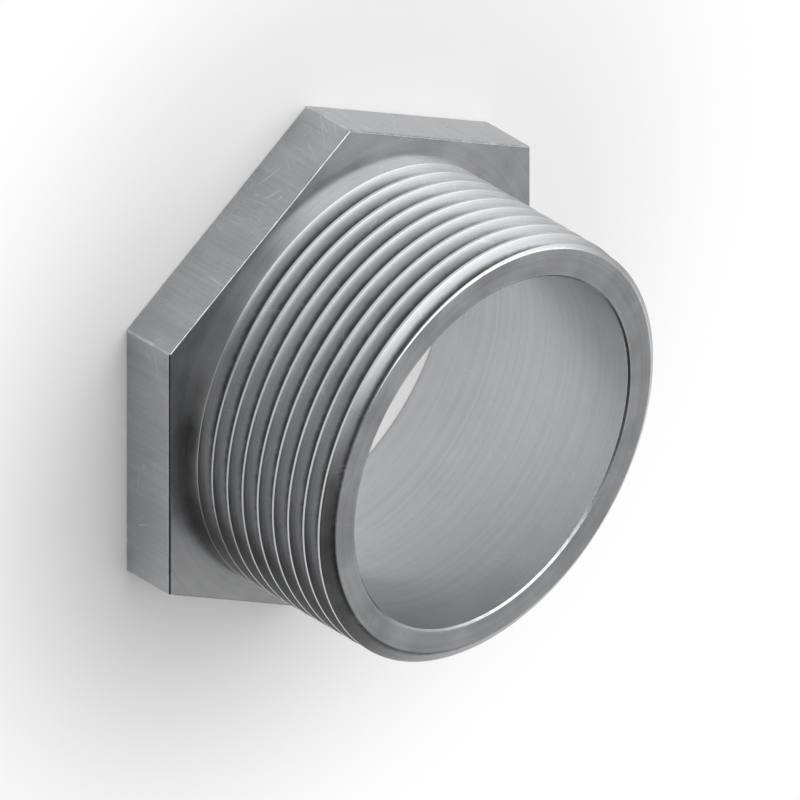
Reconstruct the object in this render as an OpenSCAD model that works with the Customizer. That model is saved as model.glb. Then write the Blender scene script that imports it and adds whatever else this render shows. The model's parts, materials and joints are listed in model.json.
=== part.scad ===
// Chase nipple, 1-1/2 in trade size: a hexagon head and a threaded shank in one piece, bored right through.
// Millimetres. The origin is the centre of the head's outer face, and +Z runs along the bore to the threaded end.
// The flats of the hexagon look along X and two of its corners point along Y.

/* [Head] */
// Width of the hexagon across its flats
head_across_flats = 52.39; // [50:0.01:56]
// Thickness of the head, from its outer face to its bearing face
head_thickness = 6.35; // [5:0.05:9]
// Small slope that takes the burr off the rims of the hexagon
head_edge_break = 0.25; // [0.1:0.05:0.6]

/* [Bore] */
// Wall left between the bore, which the wires pass through, and the roots of the thread
wall_under_thread = 2.56; // [1.8:0.01:4]
// Radius that rounds the mouth of the bore in the head, so that it can't cut a wire
throat_radius = 0.6; // [0.3:0.05:1.5]
// Slope that takes the burr off the mouth of the bore in the threaded end
bore_edge_break = 0.2; // [0.1:0.05:0.5]

/* [Shank] */
// Length of the shank, from the bearing face to the threaded end
shank_length = 20.64; // [15:0.01:30]
// Width of the slope at the threaded end, along the end face
end_slope_width = 0.86; // [0.4:0.02:1.2]
// Angle of that slope against the end face
end_slope_angle = 30; // [20:1:45]

/* [Thread] */
// Diameter over the crests of the thread, which is also the shank's
thread_major_diameter = 47.68; // [46.5:0.01:49]
// Turns of thread in one inch, right-handed
thread_turns_per_inch = 11.5; // [11:0.5:14]
// Angle of one flank of the thread against a plane square to the axis
thread_flank_angle = 30; // [27:0.5:30]
// Width of the flat on the crests and in the roots, as a part of the pitch
thread_flat_part = 0.125; // [0.1:0.005:0.16]
// Distance from the bearing face to the middle of the groove where it begins
thread_neck = 1.1; // [1:0.05:2]
// Direction in which the groove begins, counted from +X towards +Y
thread_start_angle = 102; // [0:1:359]
// Part of a turn, in degrees, over which the groove gets to its full depth
thread_runout_angle = 90; // [60:5:180]

/* [Hidden] */
$fn = 120;
mm_per_inch = 25.4;
zinc_grey = [0.62, 0.63, 0.64];
// Flat steps in one turn of the groove
turn_steps = 60;
// How far the cutting shapes run past the surfaces they cut through
overrun = 1;

shank_radius = thread_major_diameter / 2;
overall_length = head_thickness + shank_length;
pitch = mm_per_inch / thread_turns_per_inch;

// The thread's depth follows from its pitch, its flanks and its two flats, and the bore from the wall inside it.
thread_flat = thread_flat_part * pitch;
thread_depth = (pitch / 2 - thread_flat) / tan(thread_flank_angle);
bore_radius = shank_radius - thread_depth - wall_under_thread;
// The groove's profile ends this far outside the crests, still narrower than one pitch.
groove_overlap = thread_flat / 2;
groove_height = thread_depth + groove_overlap;

// Half of the groove's width at a height above its root.
function groove_half_width(height) = thread_flat / 2 + height * tan(thread_flank_angle);

// The groove's profile as corners of distance from the axis and height along it, lifted out of the shank by lift.
function groove_profile(lift) =
  let (
    root = shank_radius - thread_depth + lift,
    outside = root + groove_height,
    narrow = groove_half_width(0),
    wide = groove_half_width(groove_height)
  )
  [[root, -narrow], [root, narrow], [outside, wide], [outside, -wide]];

// A profile turned to an angle about the axis and moved along it.
function placed(profile, angle, z) =
  [for (corner = profile) [corner[0] * cos(angle), corner[0] * sin(angle), z + corner[1]]];

// The solid that joins a row of closed profiles, which all have the same number of corners.
module skin(profiles) {
  corners = len(profiles[0]);
  last = len(profiles) - 1;
  first_cap = [for (i = [0 : corners - 1]) i];
  last_cap = [for (i = [corners - 1 : -1 : 0]) last * corners + i];
  sides = [
    for (k = [0 : last - 1], i = [0 : corners - 1])
      let (
        here = k * corners + i,
        beside = k * corners + (i + 1) % corners
      )
      each [[here, here + corners, beside], [beside, here + corners, beside + corners]]
  ];
  polyhedron(points = [for (profile = profiles) each profile], faces = concat([first_cap, last_cap], sides));
}

// The hexagon is where three long bars cross. Each bar's section has its burr slopes on it.
module head() {
  half = head_across_flats / 2;
  top = head_thickness;
  cut = head_edge_break;
  section = [
    [-half, cut], [-half + cut, 0], [half - cut, 0], [half, cut],
    [half, top - cut], [half - cut, top], [-half + cut, top], [-half, top - cut]
  ];
  intersection_for (turn = [0, 60, 120])
    rotate([90, 0, turn])
      linear_extrude(height = 2 * head_across_flats, center = true)
        polygon(section);
}

// The shank as turned before its thread is cut, with the slope at its end. It starts inside the head.
module shank_blank() {
  foot = head_thickness / 2;
  slope_height = end_slope_width * tan(end_slope_angle);
  rotate_extrude()
    polygon([
      [0, foot],
      [shank_radius, foot],
      [shank_radius, overall_length - slope_height],
      [shank_radius - end_slope_width, overall_length],
      [0, overall_length]
    ]);
}

// One helical groove. It deepens over its runout next to the head and runs out through the threaded end.
module thread_groove() {
  first_z = head_thickness + thread_neck;
  last_z = overall_length + pitch / 2 + overrun;
  steps = ceil((last_z - first_z) / pitch * turn_steps);
  full_lift = thread_depth + groove_overlap;
  skin([
    for (i = [0 : steps])
      let (
        turned = i * 360 / turn_steps,
        lift = full_lift * max(0, 1 - turned / thread_runout_angle)
      )
      placed(groove_profile(lift), thread_start_angle + turned, first_z + pitch * turned / 360)
  ]);
}

module threaded_shank() {
  difference() {
    shank_blank();
    thread_groove();
  }
}

// The bore with its rounded mouth in the head and its burr slope in the threaded end.
module bore() {
  translate([0, 0, -overrun])
    cylinder(r = bore_radius, h = overall_length + 2 * overrun);
  rotate_extrude()
    difference() {
      translate([bore_radius - overrun, -overrun])
        square([overrun + throat_radius, overrun + throat_radius]);
      translate([bore_radius + throat_radius, throat_radius])
        circle(r = throat_radius);
    }
  rotate_extrude()
    polygon([
      [bore_radius - overrun, overall_length - bore_edge_break - overrun],
      [bore_radius + bore_edge_break + overrun, overall_length + overrun],
      [bore_radius - overrun, overall_length + overrun]
    ]);
}

module chase_nipple() {
  color(zinc_grey)
    difference() {
      union() {
        head();
        threaded_shank();
      }
      bore();
    }
}

chase_nipple();
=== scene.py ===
# %% [markdown]
# A chase nipple, dressed in Blender
#
# A chase nipple is a short piece of steel pipe with a hexagon head, all in one piece. An electrician
# pushes its threaded shank through a hole in a box and screws a locknut on from the other side, and
# the wires run through its smooth bore. The real one is cut from a hexagon bar on a lathe: the shank
# is turned, the thread is cut, the bore is drilled and reamed, and then it is zinc plated.
# This lesson makes it in that order, with Blender's own modelling operators.

import json
import math

import bmesh
import bpy
from mathutils import Matrix, Vector


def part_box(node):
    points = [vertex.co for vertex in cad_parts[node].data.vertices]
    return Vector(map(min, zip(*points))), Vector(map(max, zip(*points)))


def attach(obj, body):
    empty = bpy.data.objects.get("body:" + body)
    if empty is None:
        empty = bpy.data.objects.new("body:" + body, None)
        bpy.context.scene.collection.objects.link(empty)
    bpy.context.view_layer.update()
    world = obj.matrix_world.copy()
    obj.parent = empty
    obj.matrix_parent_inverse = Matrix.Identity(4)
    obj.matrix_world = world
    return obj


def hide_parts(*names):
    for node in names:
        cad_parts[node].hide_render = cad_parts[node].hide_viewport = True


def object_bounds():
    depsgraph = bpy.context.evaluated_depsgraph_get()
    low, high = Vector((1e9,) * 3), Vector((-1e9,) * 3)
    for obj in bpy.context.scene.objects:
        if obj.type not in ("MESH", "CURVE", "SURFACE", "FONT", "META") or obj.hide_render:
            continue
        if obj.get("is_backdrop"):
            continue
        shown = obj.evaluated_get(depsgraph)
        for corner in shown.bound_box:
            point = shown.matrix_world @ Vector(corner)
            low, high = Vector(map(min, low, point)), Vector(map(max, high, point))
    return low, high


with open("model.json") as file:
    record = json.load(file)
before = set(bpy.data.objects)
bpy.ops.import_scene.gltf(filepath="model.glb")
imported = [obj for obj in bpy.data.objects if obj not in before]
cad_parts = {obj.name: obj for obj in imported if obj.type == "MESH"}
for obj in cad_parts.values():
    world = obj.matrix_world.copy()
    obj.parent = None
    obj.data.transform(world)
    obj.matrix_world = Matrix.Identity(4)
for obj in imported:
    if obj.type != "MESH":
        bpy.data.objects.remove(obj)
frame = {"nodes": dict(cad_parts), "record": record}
cad_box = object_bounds()
print("nodes:", sorted(frame["nodes"]), "box in metres:", [[round(v, 5) for v in p] for p in cad_box])

# %% [markdown]
# Sizes
#
# Blender works in metres and a lathe hand works in millimetres, so every size below is a number of
# millimetres times MM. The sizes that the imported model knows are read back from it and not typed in
# again, so that the dressed part can't drift away from it.

# %% Sizes of the nipple
MM = 0.001
low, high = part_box("chase_nipple")
HEX_FLATS = high[0] - low[0]
OVERALL = high[2] - low[2]
mounts = {m["name"]: m for m in frame["record"]["mounts"]}
BEARING_Z = mounts["bearing_face"]["pos_m"][2]
CREST_R = mounts["thread"]["dims"]["r_mm"] * MM
BORE_R = mounts["bore"]["dims"]["r_mm"] * MM
print("across the flats", round(HEX_FLATS / MM, 2), "length", round(OVERALL / MM, 2))
print("crests", round(CREST_R / MM, 2), "and bore", round(BORE_R / MM, 2), "from the axis")

# %% [markdown]
# Working by code as by hand
#
# An operator acts on whatever is selected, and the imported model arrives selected. So each step first
# deselects everything and picks its own object. These few helpers do that, and they apply a modifier
# as soon as it is set up, so that every finished piece is a plain mesh.


# %% Helpers for picking objects and applying modifiers
def pick(obj):
    bpy.ops.object.select_all(action="DESELECT")
    obj.select_set(True)
    bpy.context.view_layer.objects.active = obj


def edit(obj):
    pick(obj)
    bpy.ops.object.mode_set(mode="EDIT")
    bpy.ops.mesh.select_all(action="SELECT")


def leave_edit():
    bpy.ops.object.mode_set(mode="OBJECT")


def finish_modifier(obj, kind, **settings):
    pick(obj)
    modifier = obj.modifiers.new(kind.lower(), kind)
    for name, value in settings.items():
        setattr(modifier, name, value)
    bpy.ops.object.modifier_apply(modifier=modifier.name)


# %% [markdown]
# The thread
#
# The photo draws the thread as a line wound round a plain cylinder. On the real part it is a straight
# pipe thread: 11.5 turns in an inch, flanks that open by 60 degrees, and a narrow flat on each crest
# and in each root. It could be a bump in the material, but then the shank's outline would stay
# smooth, so it is modelled. One pitch of the section is drawn here, from the middle of one crest to
# the middle of the next. Its four corners get small arcs, because a cutting tool and the plating
# leave no sharp corner, and light catches on the round.


# %% Sizes of the thread
PITCH = 25.4 / 11.5 * MM
THREAD_FLAT = PITCH / 8
FLANK = math.radians(30)
THREAD_DEPTH = (PITCH / 2 - THREAD_FLAT) / math.tan(FLANK)
ROOT_R = CREST_R - THREAD_DEPTH
CREST_ROUND = 0.07 * MM
ROOT_ROUND = 0.11 * MM
print("pitch", round(PITCH / MM, 3), "mm, thread", round(THREAD_DEPTH / MM, 3), "mm deep")


# %% Helper for rounded corners
def rounded_corner(before, corner, after, radius, steps):
    """The corner of a path replaced by points on an arc that touches both of its sides."""
    b, c, a = Vector(before), Vector(corner), Vector(after)
    to_b = (b - c).normalized()
    to_a = (a - c).normalized()
    half = to_b.angle(to_a) / 2
    centre = c + (to_b + to_a).normalized() * (radius / math.sin(half))
    first = (c + to_b * (radius / math.tan(half)) - centre).normalized()
    last = (c + to_a * (radius / math.tan(half)) - centre).normalized()
    return [tuple(centre + radius * first.slerp(last, k / steps)) for k in range(steps + 1)]


# %% One pitch of the thread's section
crest_edge = PITCH / 2 - THREAD_FLAT / 2
groove = [
    (CREST_R, -PITCH / 2),
    (CREST_R, -crest_edge),
    (ROOT_R, -THREAD_FLAT / 2),
    (ROOT_R, THREAD_FLAT / 2),
    (CREST_R, crest_edge),
    (CREST_R, PITCH / 2),
]
thread_section = [groove[0]]
for number, radius in ((1, CREST_ROUND), (2, ROOT_ROUND), (3, ROOT_ROUND), (4, CREST_ROUND)):
    before, corner, after = groove[number - 1 : number + 2]
    thread_section += rounded_corner(before, corner, after, radius, steps=3)
thread_section.append(groove[-1])
print("thread section:", len(thread_section), "points")

# %% [markdown]
# Drawing a section
#
# Turned work is a section swung round an axis. The section could be typed in as a list of points and
# edges, but here it is drawn as by hand: a plane is merged to a single point, the point is moved to
# the first corner, and then it is extruded from corner to corner. Corners are given as distance from
# the axis and height along it. A closed section gets one face, and an open one stays a line.


# %% A section drawn point by point
def drawn_section(name, corners, closed):
    bpy.ops.object.select_all(action="DESELECT")
    bpy.ops.mesh.primitive_plane_add(size=MM)
    obj = bpy.context.object
    obj.name = name
    edit(obj)
    bpy.ops.mesh.merge(type="CENTER")
    here = Vector((0, 0, 0))
    for number, (radius, height) in enumerate(corners):
        corner = Vector((radius, 0, height))
        if number == 0:
            bpy.ops.transform.translate(value=corner - here)
        else:
            bpy.ops.mesh.extrude_region_move(TRANSFORM_OT_translate={"value": corner - here})
        here = corner
    if closed:
        mesh = bmesh.from_edit_mesh(obj.data)
        for v in mesh.verts:
            v.select = len(v.link_edges) == 1
        mesh.select_flush(False)
        bmesh.update_edit_mesh(obj.data)
        bpy.ops.mesh.edge_face_add()
    leave_edit()
    return obj


# %% [markdown]
# Winding the section into a screw
#
# A stack of rings would look like a thread from afar, but it wouldn't climb. The Screw modifier turns
# the section round the axis and lifts it by one pitch in each turn, which is just what a lathe does.
# The bar is wound longer than the shank at both ends and trimmed afterwards, so that its ends are
# clean. The groove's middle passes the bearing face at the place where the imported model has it, so
# both threads lie on one helix. Where one turn ends, the next begins, and points that lie less than a
# ten-thousandth of a millimetre apart there are merged into one.

# %% The threaded bar
STEPS_IN_TURN = 180
TURNS = 13
TURNS_BELOW_NECK = 2
NECK = 1.1 * MM
START_TURN = math.radians(102)
SAME_POINT = 1e-7
groove_at_x = BEARING_Z + NECK - PITCH * START_TURN / (2 * math.pi)
first_turn = groove_at_x - TURNS_BELOW_NECK * PITCH
shank = drawn_section("shank", [(r, z + first_turn) for r, z in thread_section], closed=False)
finish_modifier(
    shank,
    "SCREW",
    axis="Z",
    angle=2 * math.pi,
    screw_offset=PITCH,
    iterations=TURNS,
    steps=STEPS_IN_TURN,
    render_steps=STEPS_IN_TURN,
    use_merge_vertices=True,
    merge_threshold=SAME_POINT,
)
edit(shank)
bpy.ops.mesh.remove_doubles(threshold=SAME_POINT)
bpy.ops.mesh.normals_make_consistent(inside=False)
leave_edit()
print("threaded bar:", len(shank.data.vertices), "points")

# %% [markdown]
# Where the thread fades out
#
# A threading tool can't cut right up to the head. It is drawn out of the work over the last part of a
# turn, so the groove gets shallower and narrower and ends in a plain neck. A plain ring over the first
# turn would hide the groove, but it would end in a step. So each point of the bar's first turns is
# asked how far along the groove it lies. Before the groove's beginning it is moved out to the neck's
# surface, and over the next quarter turn only part of the way. The groove narrows with its depth, but
# never to nothing, because its points would fall together.

# %% The runout next to the head
RUNOUT_TURN = math.radians(90)
LEAST_SPREAD = 0.1
for vertex in shank.data.vertices:
    x, y, z = vertex.co
    angle = math.atan2(y, x) % (2 * math.pi)
    turned_past = (z - groove_at_x) / PITCH - angle / (2 * math.pi)
    number = round(turned_past)
    along = number * 2 * math.pi + angle - START_TURN
    if along >= RUNOUT_TURN:
        continue
    lift = THREAD_DEPTH * min(1, 1 - along / RUNOUT_TURN)
    radius = math.hypot(x, y)
    middle = groove_at_x + (number + angle / (2 * math.pi)) * PITCH
    side = z - middle
    reach = abs(side)
    keep = 1 - lift / THREAD_DEPTH
    spread = max(keep, LEAST_SPREAD)
    narrow_edge = THREAD_FLAT / 2 + (crest_edge - THREAD_FLAT / 2) * spread
    if reach <= THREAD_FLAT / 2:
        moved = reach
    elif reach <= crest_edge:
        moved = THREAD_FLAT / 2 + (reach - THREAD_FLAT / 2) * spread
    else:
        moved = narrow_edge + (reach - crest_edge) * (PITCH / 2 - narrow_edge) / (PITCH / 2 - crest_edge)
    new_radius = CREST_R - (CREST_R - radius) * keep
    new_z = middle + math.copysign(moved, side)
    vertex.co = (math.cos(angle) * new_radius, math.sin(angle) * new_radius, new_z)
print("groove begins", round(NECK / MM, 2), "mm above the bearing face")

# %% [markdown]
# Trimming the bar
#
# The bar was wound too long, and its ends are open spirals. It is sawn off square inside the head,
# where the cut won't show, and just past its threaded end. Bisect does the sawing, and each open rim
# is then filled with one face, so that the bar is a closed solid that can be combined with others.

# %% The two sawn ends of the bar
FOOT_Z = 4 * MM
SAWN_Z = OVERALL + 0.4 * MM
ON_THE_CUT = 1e-6


def saw(obj, height, clear_below):
    edit(obj)
    sides = {"clear_inner": clear_below, "clear_outer": not clear_below}
    bpy.ops.mesh.bisect(plane_co=(0, 0, height), plane_no=(0, 0, 1), threshold=SAME_POINT, **sides)
    mesh = bmesh.from_edit_mesh(obj.data)
    for edge in mesh.edges:
        edge.select = edge.is_boundary and all(abs(v.co.z - height) < ON_THE_CUT for v in edge.verts)
    bmesh.update_edit_mesh(obj.data)
    bpy.ops.mesh.edge_face_add()
    leave_edit()


saw(shank, FOOT_Z, clear_below=True)
saw(shank, SAWN_Z, clear_below=False)
edit(shank)
bpy.ops.mesh.normals_make_consistent(inside=False)
leave_edit()
print("sawn bar:", len(shank.data.vertices), "points", len(shank.data.polygons), "faces")

# %% [markdown]
# Turning
#
# A turned solid could be built up from cylinders and cones, but a closed section that is spun right
# round the axis keeps all its sizes in one list. Spinning leaves doubled points where the turn
# closes, and its faces may point inwards, so the points are merged and the normals made to agree.


# %% Helper for turned solids
def turned(name, corners, steps):
    obj = drawn_section(name, corners, closed=True)
    edit(obj)
    bpy.ops.mesh.spin(steps=steps, angle=2 * math.pi, center=(0, 0, 0), axis=(0, 0, 1), use_auto_merge=True)
    bpy.ops.mesh.select_all(action="SELECT")
    bpy.ops.mesh.remove_doubles(threshold=SAME_POINT)
    bpy.ops.mesh.normals_make_consistent(inside=False)
    leave_edit()
    print(name, "turned:", len(obj.data.vertices), "points")
    return obj


# %% [markdown]
# Facing the end
#
# The threaded end is faced flat and gets a slope all round, which lets a locknut start easily. A
# bevel can't make that slope, because the thread has already cut the rim to pieces. So an envelope
# with the slope is turned, and only what lies inside both it and the bar is kept. Such a tool reaches
# a millimetre past the work, because two surfaces that only touch make a poor cut.


# %% Helper for combining two solids
def combine(obj, tool, operation):
    finish_modifier(obj, "BOOLEAN", operation=operation, object=tool, solver="EXACT")
    bpy.data.objects.remove(tool)
    print(obj.name, operation.lower(), "->", len(obj.data.polygons), "faces")


# %% The end face and its slope
END_SLOPE = 0.86 * MM
END_SLOPE_ANGLE = math.radians(30)
PAST_THE_WORK = 1 * MM
ENVELOPE_FOOT = FOOT_Z - PAST_THE_WORK
outside = CREST_R + PAST_THE_WORK
slope_fall = math.tan(END_SLOPE_ANGLE)
envelope = turned(
    "envelope",
    [
        (0, ENVELOPE_FOOT),
        (outside, ENVELOPE_FOOT),
        (outside, OVERALL - (END_SLOPE + PAST_THE_WORK) * slope_fall),
        (CREST_R - END_SLOPE, OVERALL),
        (0, OVERALL),
    ],
    STEPS_IN_TURN,
)
combine(shank, envelope, "INTERSECT")

# %% [markdown]
# The head
#
# The head is a slice of the hexagon bar itself. Three long bars could be crossed to make a hexagon,
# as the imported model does, but a cylinder with six sides is one step, and its corners already point
# along Y. Its edges are bevelled by a quarter of a millimetre, in four steps, so that they are round
# and catch the light. That is about what is taken off as burr.

# %% The hexagon head
EDGE_BREAK = 0.25 * MM
HEX_CORNER_R = HEX_FLATS / 2 / math.cos(math.radians(30))
bpy.ops.object.select_all(action="DESELECT")
head_middle = (0, 0, BEARING_Z / 2)
bpy.ops.mesh.primitive_cylinder_add(vertices=6, radius=HEX_CORNER_R, depth=BEARING_Z, location=head_middle)
nipple = bpy.context.object
nipple.name = "nipple"
bpy.ops.object.transform_apply(location=True, rotation=True, scale=True)
edit(nipple)
bpy.ops.mesh.bevel(offset=EDGE_BREAK, segments=4, affect="EDGES")
leave_edit()
print("head:", [round(v / MM, 2) for v in nipple.dimensions])
combine(nipple, shank, "UNION")

# %% [markdown]
# The bore
#
# The bore is what the fitting is for. Head and shank could each be made hollow, but the bore runs
# through both, so it is cut last and in one pass, as it is drilled. The cutter's section already has
# the two mouths on it: a round one in the head, so that no edge can skin a wire, and a small slope at
# the threaded end, where only a burr is taken off.


# %% The bore with its two mouths
THROAT_R = 0.6 * MM
BORE_BREAK = 0.2 * MM


def arc(centre, radius, start, end, steps):
    """Corners on an arc about centre, from one angle to another, in degrees."""
    turns = [math.radians(start + (end - start) * k / steps) for k in range(steps + 1)]
    return [(centre[0] + radius * math.cos(a), centre[1] + radius * math.sin(a)) for a in turns]


mouth = arc((BORE_R + THROAT_R, THROAT_R), THROAT_R, start=270, end=180, steps=8)
cutter = turned(
    "bore_cutter",
    [
        (0, -PAST_THE_WORK),
        (BORE_R + THROAT_R, -PAST_THE_WORK),
        *mouth,
        (BORE_R, OVERALL - BORE_BREAK),
        (BORE_R + BORE_BREAK + PAST_THE_WORK, OVERALL + PAST_THE_WORK),
        (0, OVERALL + PAST_THE_WORK),
    ],
    STEPS_IN_TURN,
)
combine(nipple, cutter, "DIFFERENCE")

# %% [markdown]
# Shading
#
# The mesh has flat faces, and turned steel hasn't. Smooth shading hides the steps of the round walls,
# but where two faces meet at more than 25 degrees, there is a real edge that has to stay. Booleans
# leave some very thin faces, so points that lie on each other are merged first. Weighted normals then
# let the large flat faces decide how the light runs over the small rounded edges.

# %% Smooth shading, with real corners kept
REAL_EDGE = math.radians(25)
edit(nipple)
bpy.ops.mesh.remove_doubles(threshold=2 * SAME_POINT)
bpy.ops.mesh.dissolve_degenerate(threshold=SAME_POINT)
leave_edit()
pick(nipple)
bpy.ops.object.shade_smooth_by_angle(angle=REAL_EDGE)
finish_modifier(nipple, "WEIGHTED_NORMAL", keep_sharp=True)
print("nipple:", len(nipple.data.polygons), "faces, size", [round(v / MM, 2) for v in nipple.dimensions])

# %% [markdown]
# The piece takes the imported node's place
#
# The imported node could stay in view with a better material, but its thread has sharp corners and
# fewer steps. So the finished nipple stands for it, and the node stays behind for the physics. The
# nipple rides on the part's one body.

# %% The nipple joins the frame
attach(nipple, "root")
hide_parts("chase_nipple")
print("nipple stands for", sorted(frame["nodes"]))

# %% [markdown]
# Short words for shader nodes
#
# A finish is a small tree of nodes. It could be laid out by hand in the shader editor, but in code a
# tree is long to write out. These helpers make a node with its settings, join sockets, and put a
# number or a socket into an input. Most patterns here depend on how far a place is from the axis, so
# that gets a helper too. A noise's scale is the number of its waves in a metre, so 1000 gives a
# pattern of about a millimetre.


# %% Helpers for shader nodes
def feed(tree, socket, value):
    if isinstance(value, bpy.types.NodeSocket):
        tree.links.new(value, socket)
    else:
        socket.default_value = value


def add(tree, kind, inputs=(), **settings):
    node = tree.nodes.new("ShaderNode" + kind)
    for name, value in settings.items():
        setattr(node, name, value)
    for name, value in dict(inputs).items():
        feed(tree, node.inputs[name], value)
    return node


def calc(tree, operation, *values):
    node = add(tree, "Math", operation=operation)
    for socket, value in zip(node.inputs, values):
        feed(tree, socket, value)
    return node.outputs[0]


# %% Helpers for patterns
NOISE_ROUGHNESS = 0.55


def ramped(tree, value, low, high, to_low=0.0, to_high=1.0):
    """A value carried smoothly from one range to another."""
    sockets = {"Value": value, "From Min": low, "From Max": high, "To Min": to_low, "To Max": to_high}
    return add(tree, "MapRange", sockets, interpolation_type="SMOOTHSTEP").outputs["Result"]


def noise(tree, dimensions, place, scale, detail):
    where = "W" if dimensions == "1D" else "Vector"
    sockets = {where: place, "Scale": scale, "Detail": detail, "Roughness": NOISE_ROUGHNESS}
    return add(tree, "TexNoise", sockets, noise_dimensions=dimensions).outputs["Fac"]


def from_axis(tree, place):
    """The three coordinates of a place and its distance from the Z axis."""
    axes = add(tree, "SeparateXYZ", {"Vector": place}).outputs
    flat = add(tree, "CombineXYZ", {"X": axes["X"], "Y": axes["Y"]}).outputs[0]
    return axes, add(tree, "VectorMath", {0: flat}, operation="LENGTH").outputs["Value"]


def mixture(tree, share, first, second):
    """A value that is the first by its share and the second by the rest."""
    rest = calc(tree, "MULTIPLY", second, 1 - share)
    return calc(tree, "MULTIPLY_ADD", first, share, rest)


def blend(tree, share, first, second):
    """A colour that goes from the first to the second as the share goes from 0 to 1."""
    return add(tree, "Mix", {"Factor": share, "A": first, "B": second}, data_type="RGBA").outputs["Result"]


# %% [markdown]
# Node groups
#
# The coat, the rings, the rubbed edges and the scratches show in more than one finish. Their nodes
# could be copied into each material, but a group with named inputs and outputs is built once, and
# each material uses it with its own values. A group here puts out only values and masks.


# %% Helpers for node groups
def new_group(name, inputs, outputs):
    tree = bpy.data.node_groups.new(name, "ShaderNodeTree")
    for label, kind in inputs:
        tree.interface.new_socket(label, in_out="INPUT", socket_type="NodeSocket" + kind)
    for label, kind in outputs:
        tree.interface.new_socket(label, in_out="OUTPUT", socket_type="NodeSocket" + kind)
    entry = tree.nodes.new("NodeGroupInput").outputs
    outlet = tree.nodes.new("NodeGroupOutput").inputs
    return tree, entry, outlet


def use(tree, group, **inputs):
    node = tree.nodes.new("ShaderNodeGroup")
    node.node_tree = group
    for name, value in inputs.items():
        feed(tree, node.inputs[name], value)
    return node.outputs


# %% [markdown]
# The zinc coat
#
# The steel is plated with zinc a few thousandths of a millimetre thick. The coat is made of tiny
# crystals, so it has a fine even grain, and it dries in broad, faint clouds. A photo of zinc would
# need a map of the surface and would repeat. Two noises on the object's own coordinates need neither,
# and they run on over every edge. They put out a tone for the colour, a value for how dull the coat
# is, and a height for the bump.

# %% Group for the zinc coat's grain and clouds
CRYSTAL_TONE = 0.5
CLOUD_TONE = 0.9
THIN_CLOUD = 0.3
THICK_CLOUD = 0.7
coat, coat_in, coat_out = new_group(
    "zinc_coat", [("Place", "Vector")], [("Tone", "Float"), ("Dullness", "Float"), ("Height", "Float")]
)
crystals = noise(coat, "3D", coat_in["Place"], scale=7000, detail=2)
clouds = noise(coat, "3D", coat_in["Place"], scale=170, detail=3)
crystal_part = calc(coat, "MULTIPLY_ADD", crystals, CRYSTAL_TONE, 0.5 - CRYSTAL_TONE / 2)
cloud_part = calc(coat, "MULTIPLY_ADD", clouds, CLOUD_TONE, -CLOUD_TONE / 2)
feed(coat, coat_out["Tone"], calc(coat, "ADD", cloud_part, crystal_part))
feed(coat, coat_out["Dullness"], ramped(coat, clouds, THIN_CLOUD, THICK_CLOUD))
feed(coat, coat_out["Height"], crystals)
print("zinc_coat:", len(coat.nodes), "nodes")

# %% [markdown]
# Marks of the lathe
#
# A turning tool moves on a little with each turn and leaves rings: circles on a face, and a very fine
# screw line on a round wall. The distance from the axis plus the height tells the rings apart on
# faces, slopes and walls alike, so one noise along that single number draws them all. The thread's
# flanks are cut along the helix, and there only the distance from the axis counts, so the height has
# a factor of its own. The tool also chatters a little, which makes the rings waver.

# %% Group for the lathe's rings
CHATTER = 0.06 * MM
FINE_IN_TONE = 0.5
FINE_IN_HEIGHT = 0.6
rings, rings_in, rings_out = new_group(
    "lathe_rings", [("Place", "Vector"), ("Along Axis", "Float")], [("Tone", "Float"), ("Height", "Float")]
)
ring_axes, ring_radius = from_axis(rings, rings_in["Place"])
ring_place = calc(rings, "MULTIPLY_ADD", ring_axes["Z"], rings_in["Along Axis"], ring_radius)
chatter = noise(rings, "3D", rings_in["Place"], scale=90, detail=1)
ring_place = calc(rings, "MULTIPLY_ADD", chatter, CHATTER, ring_place)
fine_rings = noise(rings, "1D", ring_place, scale=5200, detail=2)
broad_rings = noise(rings, "1D", ring_place, scale=1300, detail=1)
feed(rings, rings_out["Tone"], mixture(rings, FINE_IN_TONE, fine_rings, broad_rings))
feed(rings, rings_out["Height"], mixture(rings, FINE_IN_HEIGHT, fine_rings, broad_rings))
print("lathe_rings:", len(rings.nodes), "nodes")

# %% [markdown]
# Edges rubbed bright
#
# Nipples are shipped loose in a bag and rub each other, so their edges are smoother and brighter than
# their faces. The part is made of plain shapes, so the distance to its nearest edge can be worked out
# from the place alone. Round edges are circles, each with a radius and a height. The hexagon is three
# pairs of flats: the largest of three widths tells how near a rim is, and the smallest how near a
# corner is. A noise breaks the bright line up.

# %% Group for edges rubbed bright, with the round edges
FAR_AWAY = 1.0
worn, worn_in, worn_out = new_group(
    "rubbed_edges", [("Place", "Vector"), ("Width", "Float")], [("Mask", "Float")]
)
worn_axes, worn_radius = from_axis(worn, worn_in["Place"])
worn_section = add(worn, "CombineXYZ", {"X": worn_radius, "Y": worn_axes["Z"]}).outputs[0]
slope_low = OVERALL - END_SLOPE * math.tan(END_SLOPE_ANGLE)
round_edges = [
    (BORE_R + THROAT_R, 0),
    (BORE_R, OVERALL - BORE_BREAK),
    (BORE_R + BORE_BREAK, OVERALL),
    (CREST_R - END_SLOPE, OVERALL),
    (CREST_R, slope_low),
]
nearest = FAR_AWAY
for radius, height in round_edges:
    both_places = {0: worn_section, 1: (radius, height, 0)}
    gap = add(worn, "VectorMath", both_places, operation="DISTANCE").outputs["Value"]
    nearest = calc(worn, "MINIMUM", nearest, gap)
print("round edges:", len(round_edges))

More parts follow.
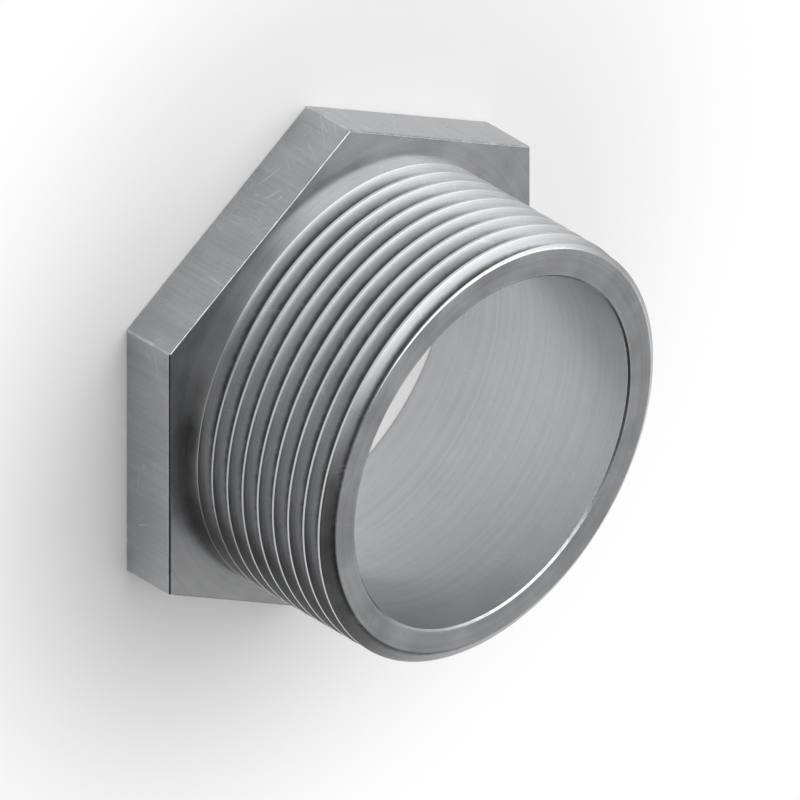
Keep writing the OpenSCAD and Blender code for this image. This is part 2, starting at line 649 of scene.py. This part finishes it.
# %% The edges of the hexagon
largest, smallest = 0.0, FAR_AWAY
for turn in (0, 60, 120):
    across = (math.cos(math.radians(turn)), math.sin(math.radians(turn)), 0)
    both_ways = {0: worn_in["Place"], 1: across}
    width = add(worn, "VectorMath", both_ways, operation="DOT_PRODUCT").outputs["Value"]
    width = calc(worn, "ABSOLUTE", width)
    largest = calc(worn, "MAXIMUM", largest, width)
    smallest = calc(worn, "MINIMUM", smallest, width)
from_flat = calc(worn, "ABSOLUTE", calc(worn, "SUBTRACT", HEX_FLATS / 2, largest))
for rim_height in (0.0, BEARING_Z):
    from_level = calc(worn, "ABSOLUTE", calc(worn, "SUBTRACT", worn_axes["Z"], rim_height))
    nearest = calc(worn, "MINIMUM", nearest, calc(worn, "ADD", from_flat, from_level))
from_corner = calc(worn, "MULTIPLY", smallest, 1 / math.cos(math.radians(30)))
nearest = calc(worn, "MINIMUM", nearest, calc(worn, "ADD", from_flat, from_corner))
print("rubbed_edges, still without the noise:", len(worn.nodes), "nodes")

# %% The bright line broken up
LEAST_RUB = -0.5
MOST_RUB = 1.9
RUB_BEGINS = -0.1 * MM
RUB_IS_FULL = 0.2 * MM
rub = noise(worn, "3D", worn_in["Place"], scale=900, detail=3)
uneven_rub = calc(worn, "MULTIPLY_ADD", rub, MOST_RUB - LEAST_RUB, LEAST_RUB)
reach_of_rub = calc(worn, "MULTIPLY", worn_in["Width"], uneven_rub)
inside_rub = calc(worn, "SUBTRACT", reach_of_rub, nearest)
feed(worn, worn_out["Mask"], ramped(worn, inside_rub, RUB_BEGINS, RUB_IS_FULL))
print("rubbed_edges:", len(worn.nodes), "nodes")

# %% [markdown]
# Fine scratches
#
# The same rubbing leaves a few hair-fine scratches. They could be modelled as grooves, but they would
# be far thinner than the mesh. A noise that gets only a small part of one coordinate is stretched along
# it into long thin peaks, and keeping only their tops gives hairlines. They have to lie in the surface,
# so the noise is read from a flat map of the part: the way round the axis is one side of the map, and
# the distance from the axis plus the height is the other. Scratches run every way, so the part is
# split into cells about as big as a fingertip, and each cell turns its piece of the map by its own
# chance angle. A second, broad noise lets the scratches show in a few patches only.

# %% Group for fine scratches
CELL_SCALES = (95, 150)
PATCHES_IN_CELL = 2.3
STRETCHED = 0.03
LINE_FROM = 0.76
LINE_TO = 0.84
PATCH_FROM = 0.48
PATCH_TO = 0.62
scratches, scratches_in, scratches_out = new_group(
    "fine_scratches", [("Place", "Vector")], [("Mask", "Float")]
)
scratch_place = scratches_in["Place"]
scratch_axes, scratch_radius = from_axis(scratches, scratch_place)
scratch_angle = calc(scratches, "ARCTAN2", scratch_axes["Y"], scratch_axes["X"])
way_round = calc(scratches, "MULTIPLY", scratch_angle, CREST_R)
way_up = calc(scratches, "ADD", scratch_radius, scratch_axes["Z"])
flat_map = add(scratches, "CombineXYZ", {"X": way_round, "Y": way_up}).outputs[0]
hairlines = 0.0
for cell_scale in CELL_SCALES:
    cells = add(scratches, "TexVoronoi", {"Vector": scratch_place, "Scale": cell_scale}).outputs["Color"]
    cell_chance = add(scratches, "SeparateXYZ", {"Vector": cells}).outputs["X"]
    chance = {"Vector": flat_map, "Angle": calc(scratches, "MULTIPLY", cell_chance, 2 * math.pi)}
    turned_map = add(scratches, "VectorRotate", chance, rotation_type="Z_AXIS").outputs[0]
    stretched = add(scratches, "Mapping", {"Vector": turned_map, "Scale": (STRETCHED, 1, 1)}).outputs[0]
    peaks = noise(scratches, "2D", stretched, scale=3600, detail=0)
    line = ramped(scratches, peaks, LINE_FROM, LINE_TO)
    hills = noise(scratches, "3D", scratch_place, scale=PATCHES_IN_CELL * cell_scale, detail=1)
    patch = ramped(scratches, hills, PATCH_FROM, PATCH_TO)
    hairlines = calc(scratches, "MAXIMUM", hairlines, calc(scratches, "MULTIPLY", line, patch))
feed(scratches, scratches_out["Mask"], hairlines)
print("fine_scratches:", len(scratches.nodes), "nodes")

# %% [markdown]
# What all four finishes share
#
# Each finish starts as plated metal: fully metallic, with the coat's grain, bright rubbed edges and
# scratches. What differs is the marks of how that surface was made, and how dull it is. Four
# materials could each be built by hand, but then a change would have to be made four times. So one
# function lays the shared part and takes the marks as numbers. Colour, roughness and bump all follow
# the same masks, as they do on metal: where it is rubbed, it is brighter and smoother, and where the
# plating's film has stayed, it is dark and dull. In the thread's roots that dark mask is also painted
# shade.

# %% The colours that they share
DARK_ZINC = (0.38, 0.385, 0.395, 1)
PALE_ZINC = (0.62, 0.625, 0.635, 1)
RUBBED_ZINC = (0.74, 0.745, 0.75, 1)
# The darkest colour is the plating's film, and in the thread's roots it is painted shade as well.
ROOT_FILM_AND_SHADE = (0.13, 0.13, 0.135, 1)
print("zinc from", DARK_ZINC[:3], "to", PALE_ZINC[:3])

# %% How strongly each mark shows
# The film mask darkens the colour; in the thread's roots that darkening is painted shade.
FILM_AND_SHADE_DARKENS = 0.8
FILM_AND_SHADE_COVERS = 0.7
RUB_BRIGHTENS = 0.75
SCRATCH_BRIGHTENS = 0.3
CLOUDS_DULL = 0.09
FILM_DULLS = 0.16
RUB_SMOOTHS = 0.10
CRYSTAL_RELIEF = 0.18
SCRATCH_RELIEF = 0.25
BUMP_HEIGHT = 0.01 * MM
print("bump at most", round(BUMP_HEIGHT / MM, 3), "mm high")


# %% The shared part of the finishes
def plated(name, marks_of, marks_tone, marks_depth, roughness, rubbed_width, darker=0.0):
    """A plated finish. marks_of(tree, place) gives a tone, a height and a mask for dark film and painted
    shade.
    """
    material = bpy.data.materials.new(name)
    material.use_nodes = True
    tree = material.node_tree
    surface = tree.nodes["Principled BSDF"]
    place = add(tree, "TexCoord").outputs["Object"]
    zinc = use(tree, coat, Place=place)
    rubbed = use(tree, worn, Place=place, Width=rubbed_width)["Mask"]
    scratched = use(tree, scratches, Place=place)["Mask"]
    marks, height, film_and_shade = marks_of(tree, place)
    tone = calc(tree, "MULTIPLY_ADD", calc(tree, "SUBTRACT", marks, 0.5 + darker), marks_tone, zinc["Tone"])
    # Where the film mask lies the colour darkens: plating film, and painted shade in the thread's roots.
    tone = calc(tree, "SUBTRACT", tone, calc(tree, "MULTIPLY", film_and_shade, FILM_AND_SHADE_DARKENS))
    shade = blend(tree, tone, DARK_ZINC, PALE_ZINC)
    shade = blend(tree, calc(tree, "MULTIPLY", film_and_shade, FILM_AND_SHADE_COVERS), shade, ROOT_FILM_AND_SHADE)
    bright = calc(tree, "MULTIPLY", rubbed, RUB_BRIGHTENS)
    bright = calc(tree, "MAXIMUM", bright, calc(tree, "MULTIPLY", scratched, SCRATCH_BRIGHTENS))
    colour = blend(tree, bright, shade, RUBBED_ZINC)
    rough = calc(tree, "MULTIPLY_ADD", zinc["Dullness"], CLOUDS_DULL, roughness - CLOUDS_DULL / 2)
    rough = calc(tree, "MULTIPLY_ADD", film_and_shade, FILM_DULLS, rough)
    rough = calc(tree, "MULTIPLY_ADD", rubbed, -RUB_SMOOTHS, rough)
    relief = calc(tree, "MULTIPLY", zinc["Height"], CRYSTAL_RELIEF)
    relief = calc(tree, "MULTIPLY_ADD", height, marks_depth, relief)
    relief = calc(tree, "SUBTRACT", relief, calc(tree, "MULTIPLY", scratched, SCRATCH_RELIEF))
    bump = add(tree, "Bump", {"Height": relief, "Distance": BUMP_HEIGHT, "Strength": 1.0})
    feed(tree, surface.inputs["Base Color"], colour)
    feed(tree, surface.inputs["Roughness"], rough)
    feed(tree, surface.inputs["Normal"], bump.outputs["Normal"])
    surface.inputs["Metallic"].default_value = 1.0
    print(name, "has", len(tree.nodes), "nodes")
    return material


# %% [markdown]
# The drawn flats of the hexagon
#
# The head's six flats are never machined. They are the skin of the hexagon bar, which was pulled
# through a die, so they have faint straight lines along the bar, which is along Z here. A wave
# pattern would be too even. A noise stretched along Z gives such lines on all six flats at once.


# %% The finish of the drawn flats
FINE_LINES = 0.6


def drawn_lines(tree, place):
    stretched = add(tree, "Mapping", {"Vector": place, "Scale": (1, 1, STRETCHED)}).outputs[0]
    fine = noise(tree, "3D", stretched, scale=4200, detail=3)
    broad = noise(tree, "3D", stretched, scale=900, detail=1)
    both = mixture(tree, FINE_LINES, fine, broad)
    return both, both, 0.0


drawn_zinc = plated(
    "drawn_zinc",
    drawn_lines,
    marks_tone=0.9,
    marks_depth=0.5,
    roughness=0.28,
    rubbed_width=0.22 * MM,
    darker=0.4,
)

# %% [markdown]
# The turned faces
#
# The two faces of the head and the end of the shank with its slope are turned, so they carry rings. A
# picture of rings would have to be laid on each face by itself, and the group needs only a place, so
# it runs on over every edge. On the outer face the rings are what one sees from the other side.


# %% The finish of the turned faces
def turned_marks(tree, place):
    marks = use(tree, rings, Place=place, **{"Along Axis": 1.0})
    return marks["Tone"], marks["Height"], 0.0


turned_zinc = plated(
    "turned_zinc", turned_marks, marks_tone=0.9, marks_depth=0.6, roughness=0.35, rubbed_width=0.2 * MM
)

# %% [markdown]
# The reamed bore
#
# The bore is reamed after it is drilled, because the wires are pulled over its wall. A reamer leaves
# the same rings, but shallower, and the coat on so smooth a wall is brighter. So this finish is the
# turned one with other numbers.

# %% The finish of the bore
reamed_zinc = plated(
    "reamed_zinc",
    turned_marks,
    marks_tone=0.8,
    marks_depth=0.45,
    roughness=0.32,
    rubbed_width=0.2 * MM,
    darker=-0.45,
)

# %% [markdown]
# The cut thread
#
# A threading tool tears the steel a little more than a turning tool does, so the flanks are duller,
# and the roots hold some of the dark film that plating leaves in narrow grooves. Their darkening is
# also painted shade, the shade that falls into the narrow roots. The crests are what is left of the
# turned bar, and nuts and other nipples rub them bright. The film and the shade could be painted by
# hand, but the distance from the axis tells roots, flanks and crests apart all along the helix.


# %% The finish of the thread
# How far the roots' dark film and painted shade reach out from the root.
UNEVEN_FILM_AND_SHADE = 0.5 * MM
FILM_AND_SHADE_ENDS = ROOT_R + 0.85 * MM
FILM_AND_SHADE_IS_FULL = ROOT_R + 0.15 * MM
CREST_BEGINS = CREST_R - 0.2 * MM
CREST_IS_FULL = CREST_R - 0.04 * MM
CREST_CLEANED = 0.55


def thread_marks(tree, place):
    marks = use(tree, rings, Place=place, **{"Along Axis": 0.0})
    radius = from_axis(tree, place)[1]
    film_and_shade_noise = noise(tree, "3D", place, scale=1100, detail=3)
    uneven = calc(tree, "MULTIPLY_ADD", film_and_shade_noise, UNEVEN_FILM_AND_SHADE, radius)
    # Dark roots: the plating's film, and painted shade in the narrow roots.
    root = ramped(tree, uneven, FILM_AND_SHADE_ENDS, FILM_AND_SHADE_IS_FULL)
    crest = ramped(tree, radius, CREST_BEGINS, CREST_IS_FULL, to_high=CREST_CLEANED)
    return marks["Tone"], marks["Height"], calc(tree, "SUBTRACT", root, crest)


threaded_zinc = plated(
    "threaded_zinc", thread_marks, marks_tone=0.8, marks_depth=0.5, roughness=0.4, rubbed_width=0.2 * MM
)

# %% [markdown]
# Which face gets which finish
#
# Every face is sorted by its own middle. A face whose middle lies at half the width across the flats
# belongs to the hexagon's sides, and one that lies at the bore's radius is the bore. A face beyond the
# roots of the thread and above the bearing face is thread, unless it lies on the slope at the end. All
# others are turned. A face's middle lies a hair inside the curve that it stands for, so each of these
# limits has a little room.

# %% Sorting the faces
for finish in (turned_zinc, drawn_zinc, threaded_zinc, reamed_zinc):
    nipple.data.materials.append(finish)
TURNED, DRAWN, THREADED, REAMED = range(4)
LOWEST_THREAD = BEARING_Z + 0.005 * MM
INNERMOST_THREAD = ROOT_R - 0.1 * MM
UNDER_SLOPE = 0.02 * MM
OUTERMOST_BORE = BORE_R + 0.01 * MM
sorted_faces = [0, 0, 0, 0]
for face in nipple.data.polygons:
    x, y, z = face.center
    radius = math.hypot(x, y)
    widths = [abs(x * math.cos(t) + y * math.sin(t)) for t in (0, math.pi / 3, 2 * math.pi / 3)]
    slope_z = OVERALL - (radius - CREST_R + END_SLOPE) * math.tan(END_SLOPE_ANGLE)
    if max(widths) > HEX_FLATS / 2 - EDGE_BREAK:
        face.material_index = DRAWN
    elif LOWEST_THREAD < z < slope_z - UNDER_SLOPE and radius > INNERMOST_THREAD:
        face.material_index = THREADED
    elif radius < OUTERMOST_BORE:
        face.material_index = REAMED
    else:
        face.material_index = TURNED
    sorted_faces[face.material_index] += 1
print("turned, drawn, threaded and reamed faces:", sorted_faces)

# %% [markdown]
# The floor
#
# A plain pale floor, far larger than the part, so that its rim never shows. It is nearly white and
# quite matt. The ground in the photo is pure white, also where one sees it through the bore. More
# light would whiten the floor, but it would burn out the part too. So a share of the floor glows plain
# white for the camera and for what the metal mirrors. Beside the part the share is small, which keeps
# the shadow. Inside the bore it is larger: there the glow is painted light, which lifts the shade in
# the bore and which its walls mirror. Further off it rises to the whole, an evenly white ground.

# %% Floor
FLOOR_WIDTH = 6
PAPER = (0.97, 0.97, 0.97, 1)
bpy.ops.object.select_all(action="DESELECT")
bpy.ops.mesh.primitive_plane_add(size=FLOOR_WIDTH, location=(0, 0, 0))
floor = bpy.context.object
floor.name = "floor"
floor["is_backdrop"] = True
paper = bpy.data.materials.new("matt_paper")
paper.use_nodes = True
paper_surface = paper.node_tree.nodes["Principled BSDF"]
paper_surface.inputs["Base Color"].default_value = PAPER
paper_surface.inputs["Roughness"].default_value = 1.0
paper_surface.inputs["Specular IOR Level"].default_value = 0.0
floor.data.materials.append(paper)
print("floor", [round(v, 2) for v in floor.dimensions])

# %% The floor's white glow, painted light inside the bore
SHARE_BESIDE = 0.2
# Inside the bore the glow is painted light on the shaded floor there.
PAINTED_GLOW_IN_BORE = 0.5
SHARE_FAR_OFF = 1.0
RISE_FROM = 30 * MM
RISE_TO = 68 * MM
UNDER_BORE = BORE_R + 2 * MM
paper_tree = paper.node_tree
floor_place = add(paper_tree, "TexCoord").outputs["Object"]
how_far = from_axis(paper_tree, floor_place)[1]
outer_share = ramped(paper_tree, how_far, RISE_FROM, RISE_TO, SHARE_BESIDE, SHARE_FAR_OFF)
# Inside the bore the floor glows brighter: painted light that lifts the shade in the bore.
in_bore = calc(paper_tree, "LESS_THAN", how_far, UNDER_BORE)
painted_bore_glow = calc(paper_tree, "MULTIPLY", in_bore, PAINTED_GLOW_IN_BORE)
share = calc(paper_tree, "MAXIMUM", outer_share, painted_bore_glow)
rays = add(paper_tree, "LightPath").outputs
mirrored = calc(paper_tree, "MAXIMUM", rays["Is Glossy Ray"], rays["Is Transmission Ray"])
seen_rays = calc(paper_tree, "MAXIMUM", rays["Is Camera Ray"], mirrored)
glow_share = calc(paper_tree, "MULTIPLY", seen_rays, share)
# The floor's white glow is an emission, shown only to camera and mirror rays.
glowing_white = add(paper_tree, "Emission", {"Strength": 1.0}).outputs[0]
both_floors = {0: glow_share, 1: paper_surface.outputs[0], 2: glowing_white}
ground = add(paper_tree, "MixShader", both_floors).outputs[0]
feed(paper_tree, paper_tree.nodes["Material Output"].inputs["Surface"], ground)
print("matt_paper has", len(paper_tree.nodes), "nodes")

# %% [markdown]
# The light
#
# Metal shows mostly what it mirrors, so lighting it means giving it something to mirror. One large
# soft lamp stands high on the side of the shank's upper edge and draws the broad light band there. A
# small lamp of the same power would be so bright that flat faces burn out to white where they mirror
# it. This one spreads its power over a square metre, and the part still throws a soft shadow.


# %% The lamp
def direction(azimuth, elevation):
    """The way from the part towards something, in degrees round it and above the floor."""
    a, e = math.radians(azimuth), math.radians(elevation)
    return Vector((math.cos(a) * math.cos(e), math.sin(a) * math.cos(e), math.sin(e)))


def softbox(name, azimuth, elevation, distance, width, height, power):
    middle = Vector((0, 0, OVERALL / 2))
    light = bpy.data.lights.new(name, "AREA")
    light.shape = "RECTANGLE"
    light.size = width
    light.size_y = height
    light.energy = power
    lamp = bpy.data.objects.new(name, light)
    bpy.context.collection.objects.link(lamp)
    lamp.location = middle + direction(azimuth, elevation) * distance
    lamp.rotation_euler = direction(azimuth, elevation).to_track_quat("Z", "Y").to_euler()
    print(name, "at", [round(v, 3) for v in lamp.location], power, "W")


softbox("key", azimuth=217, elevation=60, distance=0.75, width=1.15, height=0.9, power=5.3)

# %% [markdown]
# The room
#
# Everything else that the metal mirrors is the room, here a world with no picture in it. It is pale at
# the horizon and greyer above. On the side away from the lamp hangs a dark cloth, as photographers use
# for metal, which gives the dark band along the shank. Below the horizon the floor hides the world, so
# nothing is lit from there. It is white, as the far floor is, because a very low or level camera looks
# past the floor's rim.

# %% The walls and the ceiling
WALL_LOW = (0.75, 0.75, 0.75, 1)
WALL_HIGH = (0.35, 0.35, 0.35, 1)
CEILING = (0.3, 0.3, 0.3, 1)
WALL_HIGH_AT = 0.5
CEILING_FROM = 0.9
world = bpy.data.worlds.new("studio")
bpy.context.scene.world = world
world.use_nodes = True
room = world.node_tree
look = add(room, "TexCoord").outputs["Generated"]
height_of_look = add(room, "SeparateXYZ", {"Vector": look}).outputs["Z"]
ramp = add(room, "ValToRGB", {"Fac": height_of_look})
stops = ramp.color_ramp.elements
stops[0].position = 0.0
stops[0].color = WALL_LOW
stops[1].position = CEILING_FROM
stops[1].color = CEILING
stops.new(WALL_HIGH_AT).color = WALL_HIGH
print("room:", len(stops), "tones from the horizon to the ceiling")

# %% The dark cloth, and white below the horizon
CLOTH_MIDDLE = direction(52, 32)
CLOTH_DARK_TO = math.radians(28)
CLOTH_ENDS = math.radians(62)
CLOTH_LIGHT = 0.12
HORIZON = 0.01
BLACK = (0, 0, 0, 1)
WHITE = (1, 1, 1, 1)
both_looks = {0: look, 1: CLOTH_MIDDLE}
cloth = add(room, "VectorMath", both_looks, operation="DOT_PRODUCT").outputs["Value"]
open_part = ramped(room, cloth, math.cos(CLOTH_ENDS), math.cos(CLOTH_DARK_TO), 1.0, CLOTH_LIGHT)
seen = blend(room, open_part, BLACK, ramp.outputs["Color"])
below = calc(room, "LESS_THAN", height_of_look, HORIZON)
seen = blend(room, below, seen, WHITE)
background = room.nodes["Background"]
feed(room, background.inputs["Color"], seen)
background.inputs["Strength"].default_value = 1.0
print("room:", len(room.nodes), "nodes")

# %% [markdown]
# The camera
#
# The photo is an isometric view without perspective: the line of sight is equally steep to all three
# axes. Its maker had the part lying on its side, so the camera is turned about its own line of sight
# until the part's axis points to the lower right, as in the photo. One millimetre in the picture's
# own plane is 9.75 pixels of the 800. The picture's centre lies a little to the right of the head's
# middle and below it. Without perspective the camera's distance changes nothing, so it only stands
# clear of the part.

# %% Camera
PIXELS = 800
PIXELS_IN_MM = 9.75
CENTRE_RIGHT = 5.118
CENTRE_DOWN = 2.954
CAMERA_DISTANCE = 0.5
toward = Vector((1, -1, 1)).normalized()
right = Vector((-1, 0, 1)).normalized()
up = toward.cross(right)
centre = Vector((0, 0, BEARING_Z)) + right * CENTRE_RIGHT * MM - up * CENTRE_DOWN * MM
camera_data = bpy.data.cameras.new("camera")
camera_data.type = "ORTHO"
camera_data.ortho_scale = PIXELS / PIXELS_IN_MM * MM
camera = bpy.data.objects.new("camera", camera_data)
bpy.context.collection.objects.link(camera)
turned_camera = Matrix((right, up, toward)).transposed().to_4x4()
camera.matrix_world = Matrix.Translation(centre + toward * CAMERA_DISTANCE) @ turned_camera
bpy.context.scene.camera = camera
bpy.context.scene.view_settings.view_transform = "Standard"
print("up", [round(v, 4) for v in up])

# %% [markdown]
# Measuring
#
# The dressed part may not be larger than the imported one. Both boxes are written down side by side, so
# that they can be compared after each render.

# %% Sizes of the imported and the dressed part
own_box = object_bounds()
for label, box in (("packed", cad_box), ("dressed", own_box)):
    print(label, "size in mm:", [round(v / MM, 2) for v in box[1] - box[0]])
